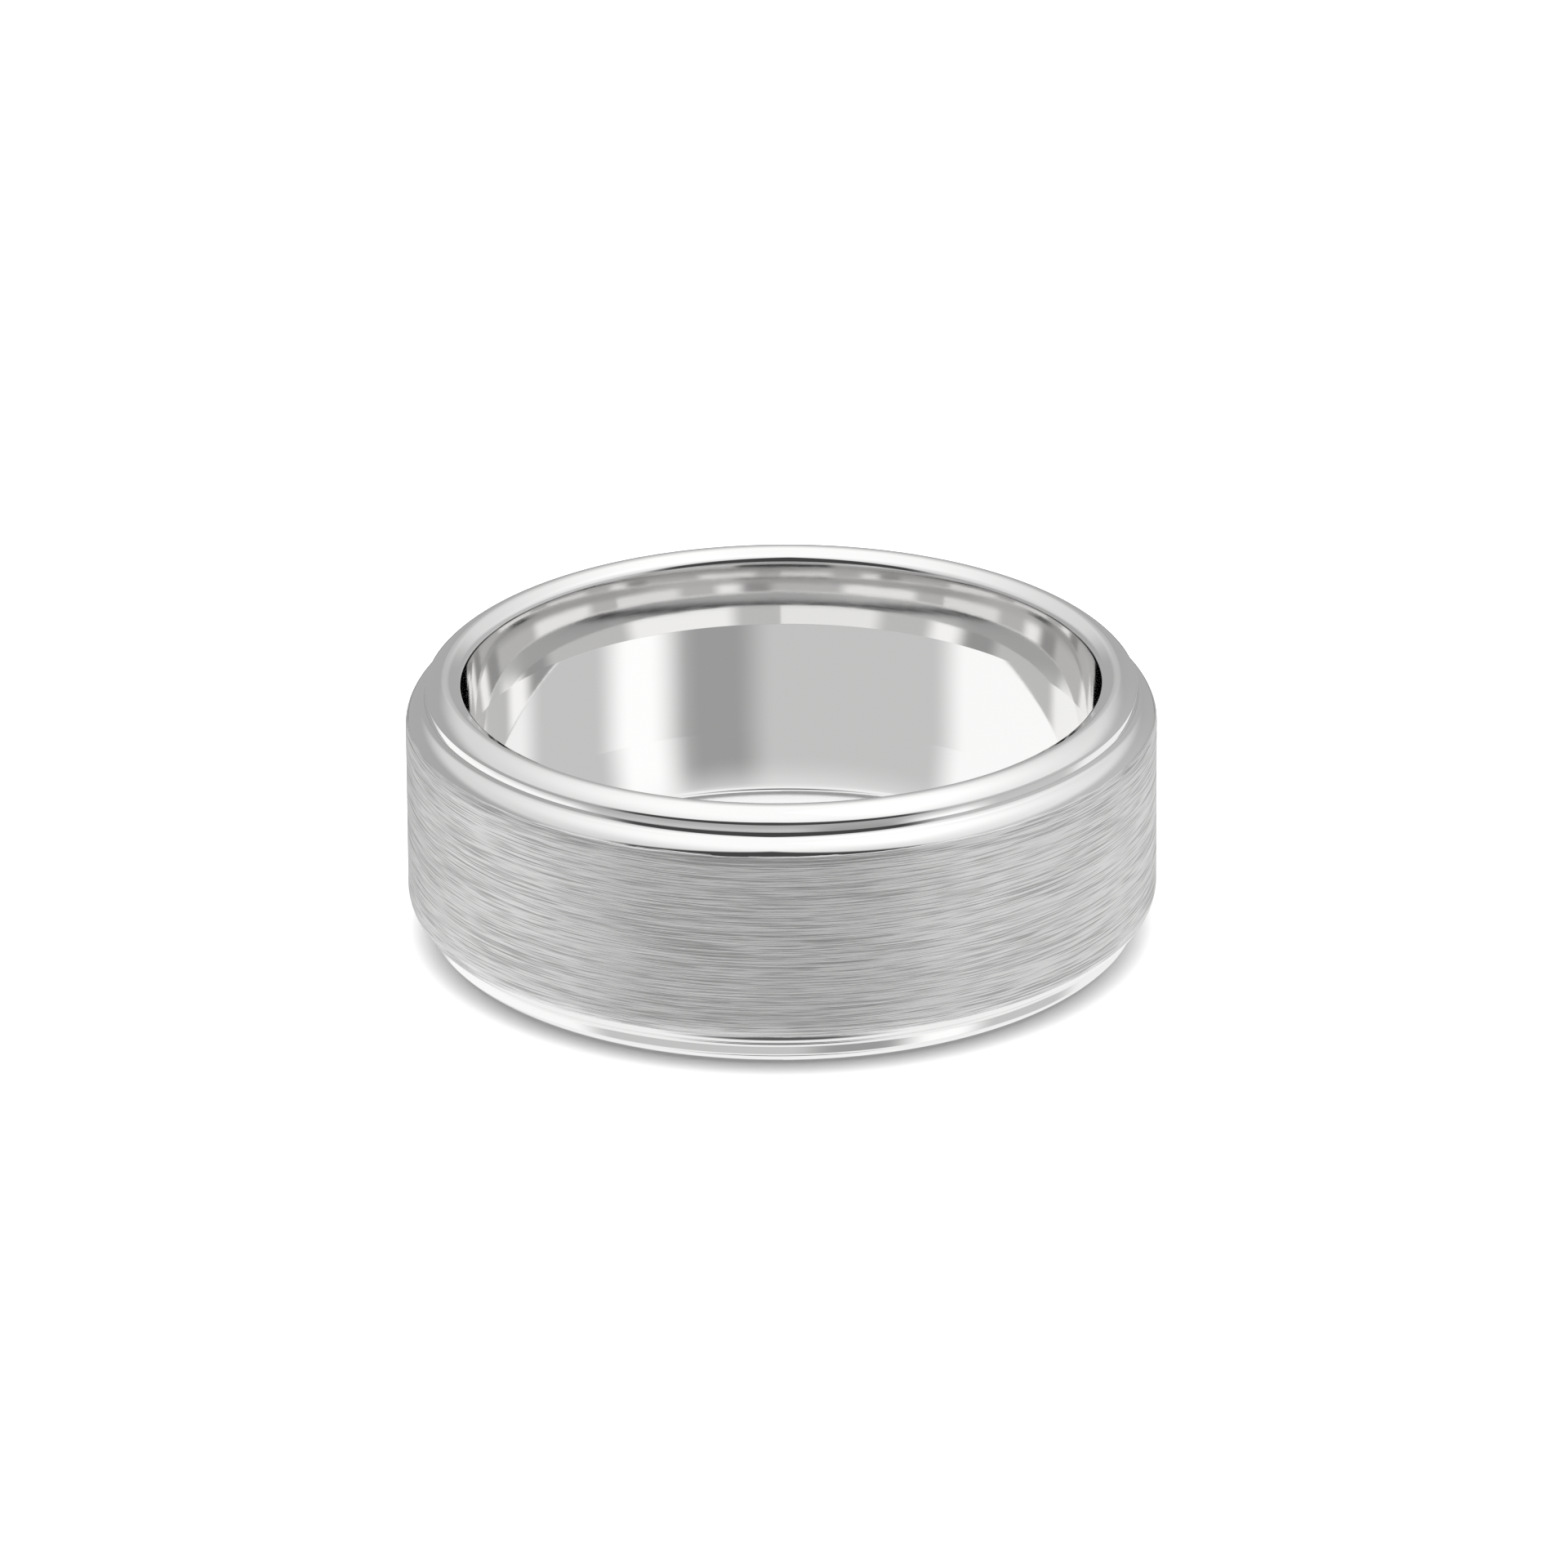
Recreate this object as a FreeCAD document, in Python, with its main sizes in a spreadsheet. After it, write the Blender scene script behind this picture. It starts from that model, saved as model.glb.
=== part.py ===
import FreeCAD, Part
import math
import os

import Sketcher
from FreeCAD import Vector

# A man's wedding band put together from rings of one white precious metal. A comfort-fit liner runs
# the full width. A raised centre band with a brushed face is pressed over the middle of the liner, and
# a domed, polished edge ring is let into a counterbore at each end of the centre band. A fillet of
# solder closes the corner between each edge ring and the shoulder of the centre band.
# The axis of the finger bore is Z, the origin is on that axis at mid-width, and all sizes are in mm.

DIMENSIONS = [
    ("band_width", 8.0, "width of the ring, along the finger"),
    ("outer_diameter", 22.12, "outside of the raised centre band"),
    ("rim_diameter", 20.96, "outside of the polished edge rings"),
    ("seat_diameter", 19.76, "outside of the liner, on which the other rings are pressed"),
    ("bore_diameter", 18.35, "finger bore at its narrowest, a ring of 57.6 mm round inside"),
    ("bore_land", 3.46, "straight stretch in the middle of the bore"),
    ("comfort_radius", 20.0, "gentle curve of the bore from the straight stretch outwards"),
    ("comfort_start", 3.2, "lean of that curve where it leaves the straight stretch, in degrees"),
    ("mouth_round", 0.28, "round from the curve of the bore to the inner slope of the crown"),
    ("crown_land", 0.06, "width of the narrow flat on top of the crown"),
    ("crown_round", 0.3, "round on both sides of the flat"),
    ("inner_slope", 27.6, "fall of the crown from the flat towards the bore, in degrees"),
    ("outer_slope", 23.0, "fall of the crown where its round passes to the dome, in degrees"),
    ("dome_radius", 1.13, "dome from the crown down towards the rim wall"),
    ("rim_corner", 0.15, "small round where the dome meets the rim wall"),
    ("face_width", 5.03, "straight face of the centre band"),
    ("shoulder_round", 0.733, "large round from the face to the foot of the rim"),
    ("solder_hollow", 0.23, "hollow of the solder fillet at the foot of the rim"),
    ("solder_depth", 0.59, "depth of the solder groove below the fillet"),
    ("register_depth", 1.2, "how far an edge ring is let in below the foot of its rim"),
    ("lead_in", 0.08, "chamfer on the buried end of an edge ring"),
]

doc = FreeCAD.newDocument("WeddingBand")
sheet = doc.addObject("Spreadsheet::Sheet", "Dims")
for row, (alias, size, meaning) in enumerate(DIMENSIONS, start=1):
    sheet.set(f"A{row}", alias)
    sheet.set(f"B{row}", str(size))
    sheet.set(f"C{row}", meaning)
    sheet.setAlias(f"B{row}", alias)
doc.recompute()

# Radii and heights that several rings share, as expressions of the driving dimensions.
OUTER = "Dims.outer_diameter / 2"
RIM = "Dims.rim_diameter / 2"
SEAT = "Dims.seat_diameter / 2"
BORE = "Dims.bore_diameter / 2"
END = "Dims.band_width / 2"
BORE_LAND_END = "Dims.bore_land / 2"
COMFORT_CENTRE = "(Dims.bore_land / 2 - Dims.comfort_radius * sin(Dims.comfort_start * 1 deg))"
FACE_END = "Dims.face_width / 2"
CROWN_INSIDE = f"({SEAT} - Dims.crown_land / 2)"
CROWN_OUTSIDE = f"({SEAT} + Dims.crown_land / 2)"
DOME_START = f"({CROWN_OUTSIDE} + Dims.crown_round * sin(Dims.outer_slope * 1 deg))"

# The shoulder's round and the solder's hollow touch at the foot of the rim. Their centres are as far
# apart as both radii together, so the foot lies between them in proportion to the radii.
SHOULDER_CENTRE = "(Dims.outer_diameter / 2 - Dims.shoulder_round)"
HOLLOW_CENTRE = "(Dims.rim_diameter / 2 + Dims.solder_hollow)"
BOTH_RADII = "(Dims.shoulder_round + Dims.solder_hollow)"
CENTRE_RISE = f"sqrt({BOTH_RADII} ^ 2 - ({HOLLOW_CENTRE} - {SHOULDER_CENTRE}) ^ 2)"
FOOT_SHARE = f"(Dims.shoulder_round / {BOTH_RADII})"
FOOT = f"({SHOULDER_CENTRE} + ({HOLLOW_CENTRE} - {SHOULDER_CENTRE}) * {FOOT_SHARE})"
FOOT_HEIGHT = f"({FACE_END} + {CENTRE_RISE} * {FOOT_SHARE})"
HOLLOW_TOP = f"({FACE_END} + {CENTRE_RISE})"
GROOVE_FLOOR = f"({FOOT_HEIGHT} - Dims.solder_depth)"
REGISTER = f"({FOOT_HEIGHT} - Dims.register_depth)"


def value(expression):
    """The number that an expression of the driving dimensions comes to."""
    return float(sheet.evalExpression(expression))


class Section:
    """A closed outline in the XZ plane, drawn corner by corner, for one ring to be revolved from."""

    def __init__(self, body, side=1):
        plane = [p for p in body.Origin.OriginFeatures if p.Role == "XZ_Plane"][0]
        self.sketch = body.newObject("Sketcher::SketchObject", body.Label + "_section")
        self.sketch.AttachmentSupport = [(plane, "")]
        self.sketch.MapMode = "FlatFace"
        self.side = side
        self.ends = []

    def line(self, start, end):
        """Adds a straight edge between two (radius, height) points and returns its number."""
        number = self.sketch.addGeometry(Part.LineSegment(self.point(start), self.point(end)), False)
        self.ends.append((1, 2))
        return number

    def arc(self, start, end, centre):
        """Adds the shorter arc about centre between two points and returns its number."""
        first, last, middle = self.point(start), self.point(end), self.point(centre)
        turn = (first - middle).cross(last - middle).z
        if turn < 0:
            first, last = last, first
        angles = [math.atan2(p.y - middle.y, p.x - middle.x) for p in (first, last)]
        if angles[1] < angles[0]:
            angles[1] += 2 * math.pi
        circle = Part.Circle(middle, Vector(0, 0, 1), (first - middle).Length)
        number = self.sketch.addGeometry(Part.ArcOfCircle(circle, angles[0], angles[1]), False)
        self.ends.append((2, 1) if turn < 0 else (1, 2))
        return number

    def point(self, place):
        """A (radius, height) place as a point of the sketch."""
        return Vector(place[0], place[1] * self.side, 0)

    def join(self, smooth):
        """Joins each edge to the next all the way round, tangentially after the edges in smooth."""
        count = len(self.ends)
        for edge in range(count):
            after = (edge + 1) % count
            kind = "Tangent" if edge in smooth else "Coincident"
            joint = Sketcher.Constraint(kind, edge, self.ends[edge][1], after, self.ends[after][0])
            self.sketch.addConstraint(joint)

    def pin(self, edge, radius=None, height=None):
        """Ties the start of an edge to a radius and a height, each given as an expression."""
        at = self.ends[edge][0]
        if radius is not None:
            self.bind(Sketcher.Constraint("DistanceX", -1, 1, edge, at, value(radius)), radius)
        if height is not None:
            signed = height if self.side > 0 else f"-({height})"
            self.bind(Sketcher.Constraint("DistanceY", -1, 1, edge, at, value(signed)), signed)

    def centre(self, arc, height):
        """Ties the centre of an arc to a height."""
        self.bind(Sketcher.Constraint("DistanceY", -1, 1, arc, 3, value(height)), height)

    def round(self, edge, radius):
        """Ties the radius of an arc to an expression."""
        self.bind(Sketcher.Constraint("Radius", edge, value(radius)), radius)

    def bind(self, constraint, expression):
        """Adds a constraint whose size follows an expression of the driving dimensions."""
        number = self.sketch.addConstraint(constraint)
        self.sketch.renameConstraint(number, f"size_{number}")
        self.sketch.setExpression(f"Constraints.size_{number}", expression)

    def upright(self, *edges):
        """Keeps lines parallel to the axis of the bore."""
        for edge in edges:
            self.sketch.addConstraint(Sketcher.Constraint("Vertical", edge))

    def slope(self, edge, degrees):
        """Ties the fall of a line from its start outwards to an expression in degrees."""
        signed = degrees if self.side < 0 else f"-({degrees})"
        angle = Sketcher.Constraint("Angle", edge, math.radians(value(signed)))
        self.bind(angle, f"{signed} * 1 deg")


def revolve(body, section):
    """Turns a section once round the axis of the bore."""
    ring = body.newObject("PartDesign::Revolution", body.Label + "_ring")
    ring.Profile = section.sketch
    ring.ReferenceAxis = (section.sketch, ["V_Axis"])
    ring.Angle = 360.0
    section.sketch.Visibility = False
    body.Placement = FreeCAD.Placement()
    doc.recompute()


def new_body(label):
    """An empty body, named after the ring that it becomes."""
    body = doc.addObject("PartDesign::Body", label)
    body.Label = label
    return body


def mouth_round_places():
    """Centre of the round at the mouth of the bore, and where it touches the slope and the curve."""
    comfort, round_radius = value("Dims.comfort_radius"), value("Dims.mouth_round")
    crown, fall = value("Dims.crown_round"), math.radians(value("Dims.inner_slope"))
    slope_start = (
        value(CROWN_INSIDE) - crown * math.sin(fall),
        value(END) - crown * (1 - math.cos(fall)),
    )
    lean = math.radians(value("Dims.comfort_start"))
    comfort_centre = (
        value(BORE) + comfort * math.cos(lean),
        value(BORE_LAND_END) - comfort * math.sin(lean),
    )
    # Slide the round down inside the slope until it also touches the curve of the bore.
    away = (
        slope_start[0] + round_radius * math.sin(fall) - comfort_centre[0],
        slope_start[1] - round_radius * math.cos(fall) - comfort_centre[1],
    )
    along = away[0] * math.cos(fall) + away[1] * math.sin(fall)
    distance = comfort - round_radius
    slide = along + math.sqrt(along**2 - away[0] ** 2 - away[1] ** 2 + distance**2)
    centre = (
        comfort_centre[0] + away[0] - slide * math.cos(fall),
        comfort_centre[1] + away[1] - slide * math.sin(fall),
    )
    slope_end = (
        centre[0] - round_radius * math.sin(fall),
        centre[1] + round_radius * math.cos(fall),
    )
    reach = comfort / distance
    curve_end = (
        comfort_centre[0] + (centre[0] - comfort_centre[0]) * reach,
        comfort_centre[1] + (centre[1] - comfort_centre[1]) * reach,
    )
    return slope_start, slope_end, centre, curve_end, comfort_centre


def mirrored(place):
    """The same place on the other side of mid-width."""
    return (place[0], -place[1])


def comfort_fit_liner():
    """The inner sleeve. Its bore is straight in the middle and flares in a curve to both ends."""
    body = new_body("comfort_fit_liner")
    section = Section(body)
    seat, bore, end, land = value(SEAT), value(BORE), value(END), value(BORE_LAND_END)
    inside = value(CROWN_INSIDE)
    crown_centre = (inside, end - value("Dims.crown_round"))
    slope_start, slope_end, mouth_centre, curve_end, comfort_centre = mouth_round_places()

    top = section.line((seat, end), (inside, end))
    upper = [
        section.arc((inside, end), slope_start, crown_centre),
        section.line(slope_start, slope_end),
        section.arc(slope_end, curve_end, mouth_centre),
        section.arc(curve_end, (bore, land), comfort_centre),
    ]
    middle = section.line((bore, land), (bore, -land))
    lower = [
        section.arc((bore, -land), mirrored(curve_end), mirrored(comfort_centre)),
        section.arc(mirrored(curve_end), mirrored(slope_end), mirrored(mouth_centre)),
        section.line(mirrored(slope_end), mirrored(slope_start)),
        section.arc(mirrored(slope_start), (inside, -end), mirrored(crown_centre)),
    ]
    bottom = section.line((inside, -end), (seat, -end))
    outside = section.line((seat, -end), (seat, end))
    section.join(smooth=[top, *upper[:-1], *lower])

    section.pin(top, SEAT, END)
    section.pin(upper[0], CROWN_INSIDE, END)
    section.pin(middle, BORE, BORE_LAND_END)
    section.pin(lower[0], BORE, f"-({BORE_LAND_END})")
    section.pin(bottom, CROWN_INSIDE, f"-({END})")
    section.pin(outside, SEAT, f"-({END})")
    section.slope(upper[1], "180 - Dims.inner_slope")
    section.slope(lower[2], "Dims.inner_slope")
    for crown, mouth, comfort in ((upper[0], upper[2], upper[3]), (lower[3], lower[1], lower[0])):
        section.round(crown, "Dims.crown_round")
        section.round(mouth, "Dims.mouth_round")
        section.round(comfort, "Dims.comfort_radius")
    section.centre(upper[3], COMFORT_CENTRE)
    section.centre(lower[0], f"-({COMFORT_CENTRE})")
    revolve(body, section)
    return body


def centre_band():
    """The raised band: straight face, rounded shoulders, and a stepped counterbore at each end."""
    body = new_body("centre_band")
    section = Section(body)
    outer, rim, seat, foot = value(OUTER), value(RIM), value(SEAT), value(FOOT)
    face, foot_height = value(FACE_END), value(FOOT_HEIGHT)
    groove, floor = value(GROOVE_FLOOR), value(REGISTER)
    centre = (value(SHOULDER_CENTRE), face)

    outside = section.line((outer, -face), (outer, face))
    upper_shoulder = section.arc((outer, face), (foot, foot_height), centre)
    steps = [
        ((foot, foot_height), FOOT, FOOT_HEIGHT),
        ((foot, groove), FOOT, GROOVE_FLOOR),
        ((rim, groove), RIM, GROOVE_FLOOR),
        ((rim, floor), RIM, REGISTER),
        ((seat, floor), SEAT, REGISTER),
    ]
    steps += [(mirrored(place), radius, f"-({height})") for place, radius, height in reversed(steps)]
    edges = []
    for step, after in zip(steps, steps[1:]):
        edges.append(section.line(step[0], after[0]))
    lower_shoulder = section.arc((foot, -foot_height), (outer, -face), mirrored(centre))
    section.join(smooth=[outside, lower_shoulder])

    section.pin(outside, OUTER, f"-({FACE_END})")
    section.pin(upper_shoulder, OUTER, FACE_END)
    for edge, step in zip(edges, steps):
        section.pin(edge, step[1], None if edge == edges[0] else step[2])
    section.pin(lower_shoulder, FOOT, None)
    for edge in (upper_shoulder, lower_shoulder):
        section.round(edge, "Dims.shoulder_round")
    revolve(body, section)
    return body


def edge_ring(label, side):
    """A domed rim that stands out of the counterbore at one end; side is 1 above and -1 below."""
    body = new_body(label)
    section = Section(body, side)
    rim, seat, end, floor = value(RIM), value(SEAT), value(END), value(REGISTER)
    chamfer, crown_edge = value("Dims.lead_in"), value(CROWN_OUTSIDE)
    crown, dome, corner = (value(f"Dims.{name}") for name in ("crown_round", "dome_radius", "rim_corner"))
    fall = math.radians(value("Dims.outer_slope"))
    crown_centre = (crown_edge, end - crown)
    dome_start = (crown_edge + crown * math.sin(fall), crown_centre[1] + crown * math.cos(fall))
    dome_centre = (dome_start[0] - dome * math.sin(fall), dome_start[1] - dome * math.cos(fall))
    # The corner round touches the rim wall, and the dome from inside.
    rise = math.sqrt((dome - corner) ** 2 - (rim - corner - dome_centre[0]) ** 2)
    corner_centre = (rim - corner, dome_centre[1] + rise)
    reach = dome / (dome - corner)
    dome_end = (
        dome_centre[0] + (corner_centre[0] - dome_centre[0]) * reach,
        dome_centre[1] + rise * reach,
    )

    base = section.line((seat, floor), (rim - chamfer, floor))
    bevel = section.line((rim - chamfer, floor), (rim, floor + chamfer))
    wall = section.line((rim, floor + chamfer), (rim, corner_centre[1]))
    rim_corner = section.arc((rim, corner_centre[1]), dome_end, corner_centre)
    rim_dome = section.arc(dome_end, dome_start, dome_centre)
    crown_round = section.arc(dome_start, (crown_edge, end), crown_centre)
    top = section.line((crown_edge, end), (seat, end))
    inside = section.line((seat, end), (seat, floor))
    section.join(smooth=[wall, rim_corner, rim_dome, crown_round])

    section.pin(base, SEAT, REGISTER)
    section.pin(bevel, f"{RIM} - Dims.lead_in", REGISTER)
    section.pin(wall, RIM, f"{REGISTER} + Dims.lead_in")
    section.pin(crown_round, DOME_START, None)
    section.pin(top, CROWN_OUTSIDE, END)
    section.pin(inside, SEAT, END)
    section.upright(wall)
    section.round(rim_corner, "Dims.rim_corner")
    section.round(rim_dome, "Dims.dome_radius")
    section.round(crown_round, "Dims.crown_round")
    revolve(body, section)
    return body


def solder_seam(label, side):
    """The solder that fills the groove round an edge ring and ends in a hollow fillet."""
    body = new_body(label)
    section = Section(body, side)
    rim, foot, groove = value(RIM), value(FOOT), value(GROOVE_FLOOR)
    foot_height, hollow_top = value(FOOT_HEIGHT), value(HOLLOW_TOP)

    base = section.line((rim, groove), (foot, groove))
    outside = section.line((foot, groove), (foot, foot_height))
    fillet = section.arc((foot, foot_height), (rim, hollow_top), (value(HOLLOW_CENTRE), hollow_top))
    inside = section.line((rim, hollow_top), (rim, groove))
    section.join(smooth=[fillet])

    section.pin(base, RIM, GROOVE_FLOOR)
    section.pin(outside, FOOT, GROOVE_FLOOR)
    section.pin(fillet, FOOT, FOOT_HEIGHT)
    section.upright(inside)
    section.round(fillet, "Dims.solder_hollow")
    revolve(body, section)
    return body


pieces = [comfort_fit_liner(), centre_band()]
for place, side in (("upper", 1), ("lower", -1)):
    pieces.append(edge_ring(f"{place}_edge_ring", side))
    pieces.append(solder_seam(f"{place}_solder_seam", side))
doc.recompute()

for item in doc.Objects:
    if "Invalid" in item.State or "Error" in item.State:
        raise RuntimeError(f"{item.Label} failed: {item.State}")
for piece in pieces:
    if piece.Shape.isNull() or not piece.Shape.isValid() or len(piece.Shape.Solids) != 1:
        raise RuntimeError(f"{piece.Label} is not one sound solid")

os.makedirs("parts", exist_ok=True)
for piece in pieces:
    piece.Shape.exportStep(f"parts/{piece.Label}.step")
    print(piece.Label, "volume", round(piece.Shape.Volume, 3), "mm3")
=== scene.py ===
"""Looks of the wedding band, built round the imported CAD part.

Every ring of the band is turned again as a finer mesh with the same outline. Outlines are in
millimetres, and turn() makes them metres.
"""

import math

import bpy
from mathutils import Euler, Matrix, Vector


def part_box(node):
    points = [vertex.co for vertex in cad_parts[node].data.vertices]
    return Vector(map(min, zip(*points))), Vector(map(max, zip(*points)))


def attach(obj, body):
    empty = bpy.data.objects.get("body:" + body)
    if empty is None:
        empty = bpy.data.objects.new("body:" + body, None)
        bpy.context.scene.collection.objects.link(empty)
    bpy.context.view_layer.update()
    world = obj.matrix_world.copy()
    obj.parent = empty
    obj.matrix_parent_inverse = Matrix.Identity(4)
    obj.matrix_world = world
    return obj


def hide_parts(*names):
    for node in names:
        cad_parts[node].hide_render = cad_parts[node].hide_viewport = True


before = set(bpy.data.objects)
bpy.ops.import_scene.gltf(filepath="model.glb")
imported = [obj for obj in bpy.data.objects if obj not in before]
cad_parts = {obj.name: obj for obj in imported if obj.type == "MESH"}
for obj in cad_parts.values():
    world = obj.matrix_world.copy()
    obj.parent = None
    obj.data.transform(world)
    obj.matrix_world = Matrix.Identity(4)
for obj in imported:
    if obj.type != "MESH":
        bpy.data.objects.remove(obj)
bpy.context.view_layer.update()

MM = 0.001
TURN_STEPS = 720
ARC_STEP = math.radians(3)
RUN_STEP = 0.12
CREASE = math.radians(25)


def reach(node, axis):
    """How far a CAD node reaches along an axis, in millimetres."""
    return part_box(node)[1][axis] / MM


# Sizes read from the frame.
OUTER = reach("centre_band", 0)
RIM = reach("upper_edge_ring", 0)
FOOT = reach("upper_solder_seam", 0)
SEAT = reach("comfort_fit_liner", 0)
END = reach("comfort_fit_liner", 2)
FOOT_HEIGHT = reach("centre_band", 2)
HOLLOW_TOP = reach("upper_solder_seam", 2)
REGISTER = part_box("upper_edge_ring")[0][2] / MM
GROOVE_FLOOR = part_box("upper_solder_seam")[0][2] / MM

# Sizes that no box shows, the same as in the CAD part.
BORE = 9.175
BORE_LAND_END = 1.73
COMFORT_RADIUS = 20.0
COMFORT_START = math.radians(3.2)
CREASE_WIDTH = 0.01
MOUTH_ROUND = 0.28
CROWN_LAND = 0.06
CROWN_ROUND = 0.3
INNER_SLOPE = math.radians(27.6)
OUTER_SLOPE = math.radians(23)
DOME_RADIUS = 1.13
DOME_FOOT = 3.57
RIM_CORNER = 0.15
RIM_DRAFT = math.radians(2.5)
FACE_END = 2.515
SHOULDER_ROUND = 0.733
SOLDER_HOLLOW = 0.23
LEAD_IN = 0.08

# Where the brushing ends on the shoulder, and how unevenly.
BRUSH_END = 2.815
BRUSH_END_WAVER = 0.015

WHITE_GOLD = (0.9, 0.897, 0.893)

# The brushing: grain per millimetre along each axis, and how its streaks tell in the metal.
STREAKS = (0.2, 0.2, 26.0)
SCRATCHES = (0.6, 0.6, 40.0)
PATCHES = (0.25, 0.25, 0.9)
SCRATCH_SHARE = 0.55
PATCH_SHARE = 0.12
STREAK_DARK = (0.62, 0.617, 0.613, 1)
STREAK_LIGHT = (1.0, 0.997, 0.993, 1)
BRUSHED_ROUGHNESS = (0.54, 0.44)
SHOULDER_ROUGHNESS = 0.045
BRUSH_DEPTH = 0.02

# The light tent. Directions are in degrees, and brightness 1 shows as white.
TENT_OPENING_AZIMUTH = -4.0
TENT_OPENING_TOP = 54.0
TENT_OPENING_HALF = 50.0
TENT_OPENING_NARROWING = 1.95
TENT_OPENING_BRIGHTNESS = 0.06
TENT_GAP = -12.4
TENT_GAP_WIDTH = 1.2
TENT_GAP_BRIGHTNESS = 0.12
WALL_FOOT_BRIGHTNESS = 0.43
WALL_BRIGHTNESS = 0.74
WALL_TOP_EXTRA = 0.34
WALL_RIGHT_EXTRA = 0.12
BELOW_BRIGHTNESS = 0.95
SHADE_UNDER_RING = 0.1

# A wide soft light over the table, in metres and watts.
TABLE_LIGHT_WATTS = 4.6
TABLE_LIGHT_SIZE = 0.9
TABLE_LIGHT_HEIGHT = 0.45
TABLE_HALF = 3.0
TABLE_COLOUR = (0.93, 0.93, 0.93, 1)

# Soft cards low round the table, white or grey: azimuth of the middle and half width in degrees, and
# brightness. Between them the surroundings are pale grey.
CARD_EDGE = 8.0
LOW_GREY = 0.6
LOW_CARDS = (
    (-106.0, 40.0, 1.05),
    (24.0, 14.0, 0.36),
    (55.0, 12.0, 1.1),
    (150.0, 42.0, 0.95),
)

# The camera: degrees above the table, distance, lens and film in millimetres, and roll in degrees.
CAMERA_ELEVATION = 23.19
CAMERA_DISTANCE = 395
CAMERA_LENS = 307.3
CAMERA_FILM = 36
CAMERA_SHIFT = (0.0014, 0.0083)
CAMERA_ROLL = -0.362


# ---------------------------------------------------------------- outlines


def along(centre, direction, distance):
    """The point at a distance from centre, in a direction given as an angle above the radius."""
    return (centre[0] + distance * math.cos(direction), centre[1] + distance * math.sin(direction))


def arc(centre, radius, first, last):
    """Points on an arc from one direction to another, both ends included."""
    steps = max(2, math.ceil(abs(last - first) / ARC_STEP))
    return [along(centre, first + (last - first) * i / steps, radius) for i in range(steps + 1)]


def run(start, end):
    """Points along a straight stretch that shows, without its ends, so that its shading stays even."""
    steps = max(1, math.ceil(math.dist(start, end) / RUN_STEP))
    return [
        (start[0] + (end[0] - start[0]) * i / steps, start[1] + (end[1] - start[1]) * i / steps)
        for i in range(1, steps)
    ]


def mirrored(points):
    """The same points below mid-width, in the order that carries an outline on."""
    return [(radius, -height) for radius, height in reversed(points)]


def liner_crown():
    """From the seam on the crown, over the crown and the mouth, down the curve of the bore."""
    inside = SEAT - CROWN_LAND / 2
    crown_centre = (inside, END - CROWN_ROUND)
    slope_up = math.pi / 2 + INNER_SLOPE
    slope_start = along(crown_centre, slope_up, CROWN_ROUND)
    comfort_centre = along((BORE, BORE_LAND_END), -COMFORT_START, COMFORT_RADIUS)
    # The mouth's round slides down inside the slope until it also touches the curve of the bore.
    place = Vector(along(slope_start, slope_up, -MOUTH_ROUND)) - Vector(comfort_centre)
    downhill = Vector((-math.cos(INNER_SLOPE), -math.sin(INNER_SLOPE)))
    side = place.dot(downhill)
    slide = -side + math.sqrt(side**2 - place.length_squared + (COMFORT_RADIUS - MOUTH_ROUND) ** 2)
    offset = place + downhill * slide
    mouth_centre = (comfort_centre[0] + offset.x, comfort_centre[1] + offset.y)
    comfort_start = math.atan2(offset.y, offset.x)
    crown = arc(crown_centre, CROWN_ROUND, math.pi / 2, slope_up)
    mouth = arc(mouth_centre, MOUTH_ROUND, slope_up, comfort_start)
    curve = comfort_curve(comfort_centre, comfort_start)
    land_start = (BORE, BORE_LAND_END - CREASE_WIDTH)
    return [(SEAT, END), *crown, *run(crown[-1], mouth[0]), *mouth, *curve, land_start]


def comfort_curve(centre, start):
    """The long gentle curve of the bore, in as many steps as its length needs."""
    whole = math.pi - COMFORT_START - start
    steps = math.ceil(whole * COMFORT_RADIUS / RUN_STEP)
    turns = [whole * i / steps for i in range(1, steps)]
    turns += [whole - CREASE_WIDTH / COMFORT_RADIUS, whole]
    return [along(centre, start + turn, COMFORT_RADIUS) for turn in turns]


def liner_outline():
    """The outline of the inner sleeve."""
    upper = liner_crown()
    lower = mirrored(upper)
    return upper + run(upper[-1], lower[0]) + lower


def centre_band_outline():
    """The outline of the raised band. The buried steps of its counterbores have only their corners."""
    shoulder_centre = (OUTER - SHOULDER_ROUND, FACE_END)
    foot_angle = math.acos((FOOT - shoulder_centre[0]) / SHOULDER_ROUND)
    shoulder = arc(shoulder_centre, SHOULDER_ROUND, 0, foot_angle)
    steps = [(FOOT, GROOVE_FLOOR), (RIM, GROOVE_FLOOR), (RIM, REGISTER), (SEAT, REGISTER)]
    upper = shoulder + steps
    lower = mirrored(upper)
    return upper + lower + run(lower[-1], upper[0])


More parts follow.
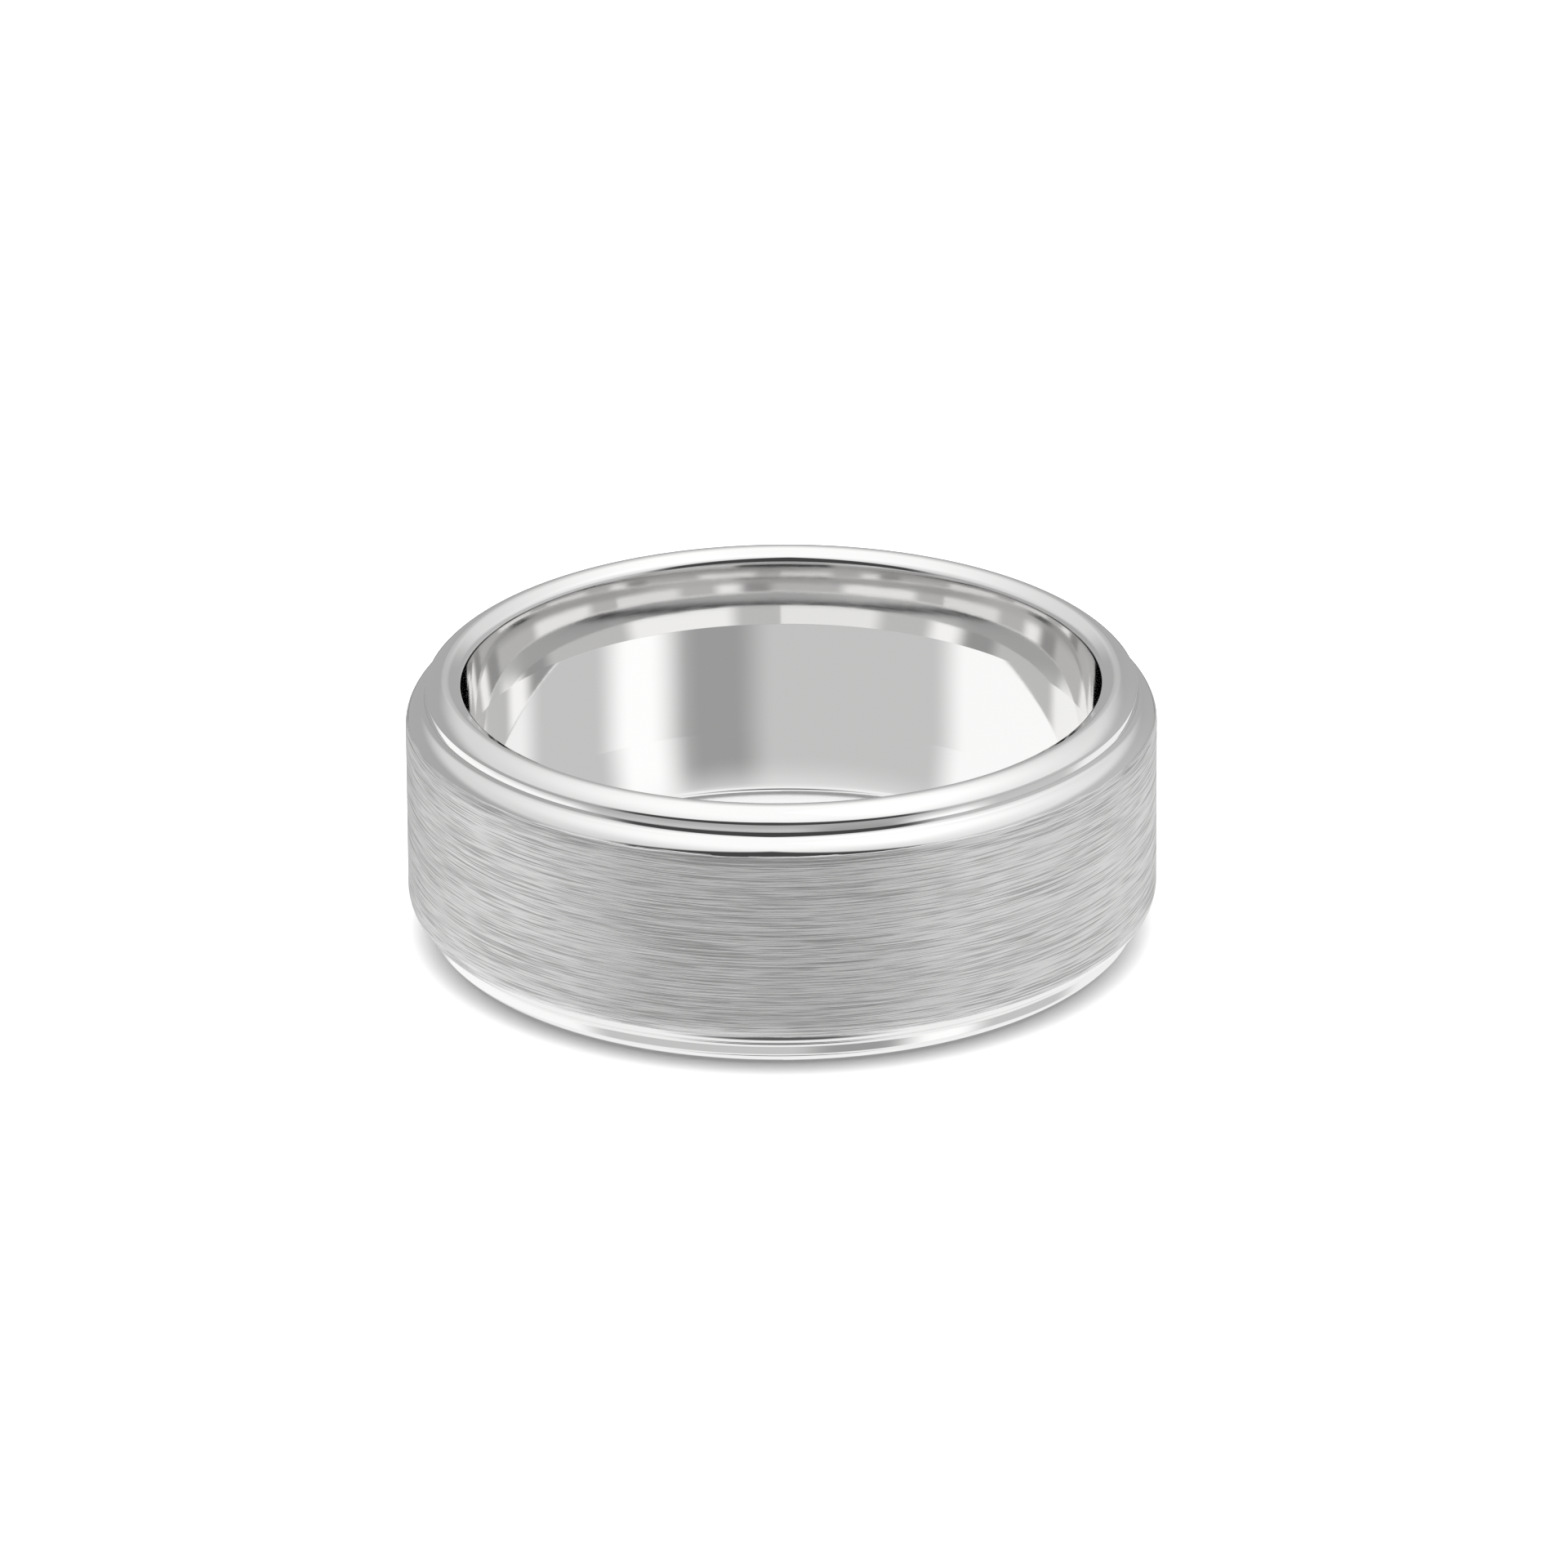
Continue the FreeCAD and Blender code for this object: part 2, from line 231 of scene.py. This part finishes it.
def edge_ring_outline():
    """The outline of a rim, upper side."""
    crown_centre = (SEAT + CROWN_LAND / 2, END - CROWN_ROUND)
    dome_top = math.pi / 2 - OUTER_SLOPE
    dome_centre = along(crown_centre, dome_top, CROWN_ROUND - DOME_RADIUS)
    # The corner's round touches the dome from inside and the wall, which leans in slightly above the
    # solder.
    wall_top = RIM - (DOME_FOOT - HOLLOW_TOP) * math.tan(RIM_DRAFT)
    corner_reach = wall_top - RIM_CORNER * math.cos(RIM_DRAFT) - dome_centre[0]
    dome_foot = math.acos(corner_reach / (DOME_RADIUS - RIM_CORNER))
    corner_centre = along(dome_centre, dome_foot, DOME_RADIUS - RIM_CORNER)
    buried = [(SEAT, REGISTER), (RIM - LEAD_IN, REGISTER), (RIM, REGISTER + LEAD_IN)]
    wall_foot = (RIM, HOLLOW_TOP)
    corner = arc(corner_centre, RIM_CORNER, RIM_DRAFT, dome_foot)
    dome = arc(dome_centre, DOME_RADIUS, dome_foot, dome_top)[1:]
    crown = arc(crown_centre, CROWN_ROUND, dome_top, math.pi / 2)[1:]
    return [*buried, wall_foot, *run(wall_foot, corner[0]), *corner, *dome, *crown, (SEAT, END)]


def solder_outline():
    """The outline of a solder seam, upper side."""
    hollow_centre = (RIM + SOLDER_HOLLOW, HOLLOW_TOP)
    foot_angle = -math.pi + math.asin(min(1, (HOLLOW_TOP - FOOT_HEIGHT) / SOLDER_HOLLOW))
    fillet = arc(hollow_centre, SOLDER_HOLLOW, foot_angle, -math.pi)
    return [(RIM, GROOVE_FLOOR), (FOOT, GROOVE_FLOOR), *fillet]


# ---------------------------------------------------------------- meshes


def turn(name, outline, side=1):
    """Turns a closed outline once round the axis; side is 1 as drawn and -1 upside down."""
    count = len(outline)
    vertices = []
    for step in range(TURN_STEPS):
        angle = 2 * math.pi * step / TURN_STEPS
        for radius, height in outline:
            place = (radius * math.cos(angle), radius * math.sin(angle), height * side)
            vertices.append([length * MM for length in place])
    faces = []
    for step in range(TURN_STEPS):
        here, there = step * count, (step + 1) % TURN_STEPS * count
        for point in range(count):
            after = (point + 1) % count
            faces.append((here + point, there + point, there + after, here + after)[::side])
    mesh = bpy.data.meshes.new(name)
    mesh.from_pydata(vertices, [], faces)
    mesh.validate()
    if signed_area(outline) < 0:
        mesh.flip_normals()
    mesh.shade_smooth()
    mesh.set_sharp_from_angle(angle=CREASE)
    piece = bpy.data.objects.new(name, mesh)
    bpy.context.collection.objects.link(piece)
    return piece


def signed_area(outline):
    """Positive when an outline runs from the radius towards the height."""
    ends = outline[1:] + outline[:1]
    return sum(a[0] * b[1] - b[0] * a[1] for a, b in zip(outline, ends)) / 2


def dress(piece, node, material):
    """Puts a finished piece in the place of its CAD node."""
    piece.data.materials.append(material)
    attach(piece, "root")
    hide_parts(node)


# ---------------------------------------------------------------- materials


class Nodes:
    """Short ways to add nodes to a material or a world."""

    def __init__(self, owner):
        owner.use_nodes = True
        self.tree = owner.node_tree
        self.tree.nodes.clear()

    def add(self, kind, settings=None, **inputs):
        """Adds a node, sets it and fills its inputs with numbers or with other nodes' outputs."""
        node = self.tree.nodes.new("ShaderNode" + kind)
        for setting, choice in (settings or {}).items():
            setattr(node, setting, choice)
        for name, given in inputs.items():
            socket = node.inputs[int(name[1:])] if name[1:].isdigit() else node.inputs[name]
            self.feed(socket, given)
        return node

    def feed(self, socket, given):
        """Links a socket to another node's output, or sets it to a plain value."""
        if isinstance(given, bpy.types.NodeSocket):
            self.tree.links.new(given, socket)
        else:
            socket.default_value = given

    def math(self, operation, *values):
        """One step of arithmetic on numbers or other nodes' outputs."""
        inputs = {f"_{number}": value for number, value in enumerate(values)}
        return self.add("Math", {"operation": operation}, **inputs).outputs[0]

    def spread(self, value, from_low, from_high, to_low, to_high):
        """Maps a range onto another smoothly, and holds its ends."""
        node = self.add("MapRange", {"interpolation_type": "SMOOTHSTEP"}, Value=value)
        for name, given in (
            ("From Min", from_low),
            ("From Max", from_high),
            ("To Min", to_low),
            ("To Max", to_high),
        ):
            self.feed(node.inputs[name], given)
        return node.outputs["Result"]

    def blend(self, share, none, full):
        """One number where share is 0 and the other where it is 1."""
        return self.add("Mix", {"data_type": "FLOAT"}, _0=share, _2=none, _3=full).outputs[0]

    def noise(self, place, stretch, detail=3.0, roughness=0.5):
        """Noise over a place in millimetres, with its grain per millimetre along each axis."""
        scaled = self.add("VectorMath", {"operation": "MULTIPLY"}, _0=place, _1=stretch)
        texture = self.add("TexNoise", Vector=scaled.outputs[0], Scale=1.0, Detail=detail)
        texture.inputs["Roughness"].default_value = roughness
        return texture.outputs["Fac"]

    def place(self):
        """Where a point lies on the piece, in millimetres."""
        coordinates = self.add("TexCoord").outputs["Object"]
        return self.add(
            "VectorMath", {"operation": "SCALE"}, _0=coordinates, Scale=1 / MM
        ).outputs[0]


def metal(name):
    """A new material with one metallic shader, and the nodes to build it with."""
    material = bpy.data.materials.new(name)
    nodes = Nodes(material)
    shader = nodes.add("BsdfPrincipled", Metallic=1.0)
    output = nodes.add("OutputMaterial", Surface=shader.outputs[0])
    output.is_active_output = True
    return material, nodes, shader


def polished(name, colour, roughness, waviness):
    """Mirror polish with the faint waves and hairlines that a buffing wheel leaves."""
    material, nodes, shader = metal(name)
    place = nodes.place()
    waves = nodes.noise(place, (0.7, 0.7, 0.9), detail=1.0)
    hairlines = nodes.noise(place, (1.2, 1.2, 26.0), detail=3.0, roughness=0.6)
    height = nodes.math("ADD", waves, nodes.math("MULTIPLY", hairlines, 0.02))
    bump = nodes.add("Bump", Strength=1.0, Distance=waviness * MM, Height=height)
    shader.inputs["Base Color"].default_value = (*colour, 1)
    nodes.feed(shader.inputs["Roughness"], nodes.spread(hairlines, 0.3, 0.7, roughness, roughness * 2))
    nodes.feed(shader.inputs["Normal"], bump.outputs[0])
    return material


def brushed(name):
    """Fine brushing round the face that gives way to polish on the shoulders."""
    material, nodes, shader = metal(name)
    place = nodes.place()
    height = nodes.add("SeparateXYZ", Vector=place).outputs["Z"]

    patches = nodes.noise(place, PATCHES, detail=2.0)
    streaks = nodes.noise(place, STREAKS, detail=1.0, roughness=0.8)
    scratches = nodes.noise(place, SCRATCHES, detail=1.0, roughness=0.8)
    grain = nodes.blend(SCRATCH_SHARE, streaks, scratches)

    waver = nodes.noise(place, (0.8, 0.8, 0.0), detail=3.0)
    waver_height = nodes.spread(waver, 0.3, 0.7, -BRUSH_END_WAVER, BRUSH_END_WAVER)
    fray = nodes.spread(streaks, 0.3, 0.7, -BRUSH_END_WAVER, BRUSH_END_WAVER)
    beyond = nodes.math("ADD", nodes.math("ABSOLUTE", height), nodes.math("ADD", waver_height, fray))
    is_polished = nodes.spread(beyond, BRUSH_END - 0.02, BRUSH_END + 0.03, 0.0, 1.0)
    is_brushed = nodes.math("SUBTRACT", 1.0, is_polished)

    tone = nodes.blend(PATCH_SHARE, grain, patches)
    dull = nodes.add("ValToRGB", Fac=nodes.spread(tone, 0.41, 0.54, 0.0, 1.0))
    dull.color_ramp.elements[0].color = STREAK_DARK
    dull.color_ramp.elements[1].color = STREAK_LIGHT
    colour = nodes.add("MixRGB", Fac=is_polished, Color1=dull.outputs[0], Color2=(*WHITE_GOLD, 1))
    nodes.feed(shader.inputs["Base Color"], colour.outputs[0])

    worn = nodes.spread(tone, 0.35, 0.65, *BRUSHED_ROUGHNESS)
    rough = nodes.math("ADD", nodes.math("MULTIPLY", worn, is_brushed), SHOULDER_ROUGHNESS)
    nodes.feed(shader.inputs["Roughness"], rough)
    shader.inputs["Anisotropic"].default_value = 0.3
    shader.inputs["Anisotropic Rotation"].default_value = 0.25
    tangent = nodes.add("Tangent", {"direction_type": "RADIAL", "axis": "Z"})
    nodes.feed(shader.inputs["Tangent"], tangent.outputs[0])

    relief = nodes.math("MULTIPLY", grain, is_brushed)
    bump = nodes.add("Bump", Strength=1.0, Distance=BRUSH_DEPTH * MM, Height=relief)
    nodes.feed(shader.inputs["Normal"], bump.outputs[0])
    return material


def floor_material():
    """Plain matt, nearly white."""
    material = bpy.data.materials.new("pale_floor")
    nodes = Nodes(material)
    shader = nodes.add("BsdfDiffuse", Color=TABLE_COLOUR)
    nodes.add("OutputMaterial", Surface=shader.outputs[0])
    return material


# ---------------------------------------------------------------- studio


def studio_floor():
    """A pale table. It takes the ring's shadow but stays out of its mirror polish."""
    half = TABLE_HALF
    corners = [(-half, -half), (half, -half), (half, half), (-half, half)]
    mesh = bpy.data.meshes.new("studio_floor")
    mesh.from_pydata([(x, y, -END * MM) for x, y in corners], [], [(0, 1, 2, 3)])
    floor = bpy.data.objects.new("studio_floor", mesh)
    bpy.context.collection.objects.link(floor)
    mesh.materials.append(floor_material())
    floor.visible_glossy = False


def table_light():
    """A wide soft light overhead that brings the table up to white."""
    data = bpy.data.lights.new("table_light", "AREA")
    data.shape = "DISK"
    data.size = TABLE_LIGHT_SIZE
    data.energy = TABLE_LIGHT_WATTS
    light = bpy.data.objects.new("table_light", data)
    light.location = (0, 0, TABLE_LIGHT_HEIGHT)
    light.visible_glossy = False
    light.visible_camera = False
    bpy.context.collection.objects.link(light)


def light_tent():
    """A white tent round the ring, open low on the photographer's side.

    Angles are in degrees. Azimuth 0 is towards the photographer and grows to the right.
    """
    world = bpy.data.worlds.new("light_tent")
    bpy.context.scene.world = world
    nodes = Nodes(world)
    toward = nodes.add("SeparateXYZ", Vector=nodes.add("TexCoord").outputs["Generated"])
    forward = nodes.math("MULTIPLY", toward.outputs["Y"], -1.0)
    azimuth = nodes.math("DEGREES", nodes.math("ARCTAN2", toward.outputs["X"], forward))
    elevation = nodes.math("DEGREES", nodes.math("ARCSINE", toward.outputs["Z"]))
    aside = nodes.math("ABSOLUTE", nodes.math("ADD", azimuth, -TENT_OPENING_AZIMUTH))

    wall = nodes.spread(elevation, 16.0, 32.0, WALL_FOOT_BRIGHTNESS, WALL_BRIGHTNESS)
    wall = nodes.math("ADD", wall, nodes.spread(elevation, 30.0, 75.0, 0.0, WALL_TOP_EXTRA))
    right = nodes.spread(azimuth, 25.0, 60.0, 0.0, WALL_RIGHT_EXTRA)
    in_front = nodes.spread(azimuth, 110.0, 170.0, 1.0, 0.0)
    wall = nodes.math("ADD", wall, nodes.math("MULTIPLY", right, in_front))

    from_top = nodes.math("SUBTRACT", TENT_OPENING_TOP, elevation)
    narrowing = nodes.math("MULTIPLY", from_top, TENT_OPENING_NARROWING)
    half_width = nodes.math("MINIMUM", narrowing, TENT_OPENING_HALF)
    across = nodes.spread(nodes.math("SUBTRACT", aside, half_width), -9.0, 7.0, 1.0, 0.0)
    opening = nodes.math("MULTIPLY", across, nodes.spread(elevation, -16.0, -6.0, 0.0, 1.0))
    above = nodes.blend(opening, wall, TENT_OPENING_BRIGHTNESS)

    low = LOW_GREY
    for middle, half, brightness in LOW_CARDS:
        away = nodes.math("ABSOLUTE", nodes.math("SUBTRACT", azimuth, middle))
        lit = nodes.spread(away, half - CARD_EDGE, half + CARD_EDGE, 1.0, 0.0)
        low = nodes.blend(lit, low, brightness)
    below = nodes.spread(elevation, -84.0, -70.0, SHADE_UNDER_RING, BELOW_BRIGHTNESS)
    under = nodes.blend(nodes.spread(elevation, -46.0, -34.0, 0.0, 1.0), below, low)
    tent = nodes.blend(nodes.spread(elevation, -21.0, -17.0, 0.0, 1.0), under, above)

    # A dark gap runs all round between the table's edge and the foot of the tent.
    from_gap = nodes.math("ABSOLUTE", nodes.math("SUBTRACT", elevation, TENT_GAP))
    past_gap = nodes.spread(from_gap, 0.0, TENT_GAP_WIDTH, TENT_GAP_BRIGHTNESS, 1.0)
    inside = nodes.math("MULTIPLY", tent, past_gap)

    # Seen past the table the tent is plain white.
    seen = nodes.add("LightPath").outputs["Is Camera Ray"]
    shader = nodes.add("Background", Strength=nodes.blend(seen, inside, 1.0), Color=(1, 1, 1, 1))
    nodes.add("OutputWorld", Surface=shader.outputs[0])


def camera():
    """The photographer's place, in front and above, with a long lens."""
    elevation = math.radians(CAMERA_ELEVATION)
    distance = CAMERA_DISTANCE * MM
    data = bpy.data.cameras.new("camera")
    data.lens = CAMERA_LENS
    data.sensor_width = CAMERA_FILM
    data.shift_x, data.shift_y = CAMERA_SHIFT
    item = bpy.data.objects.new("camera", data)
    item.location = (0, -distance * math.cos(elevation), distance * math.sin(elevation))
    upright = Euler((math.pi / 2 - elevation, 0, 0)).to_matrix()
    roll = Euler((0, 0, math.radians(CAMERA_ROLL))).to_matrix()
    item.rotation_euler = (upright @ roll).to_euler()
    bpy.context.collection.objects.link(item)
    bpy.context.scene.camera = item


# ---------------------------------------------------------------- the ring

mirror = polished("polished_white_gold", WHITE_GOLD, roughness=0.03, waviness=0.003)
lining = polished("polished_liner_gold", WHITE_GOLD, roughness=0.03, waviness=0.001)
face = brushed("brushed_white_gold")
solder = polished("polished_solder", WHITE_GOLD, roughness=0.05, waviness=0.004)

dress(turn("liner_shell", liner_outline()), "comfort_fit_liner", lining)
dress(turn("brushed_band_shell", centre_band_outline()), "centre_band", face)
for end, side in (("upper", 1), ("lower", -1)):
    rim = turn(f"{end}_rim_shell", edge_ring_outline(), side)
    dress(rim, f"{end}_edge_ring", mirror)
    seam = turn(f"{end}_solder_shell", solder_outline(), side)
    dress(seam, f"{end}_solder_seam", solder)

studio_floor()
table_light()
light_tent()
camera()
bpy.context.scene.view_settings.view_transform = "Standard"
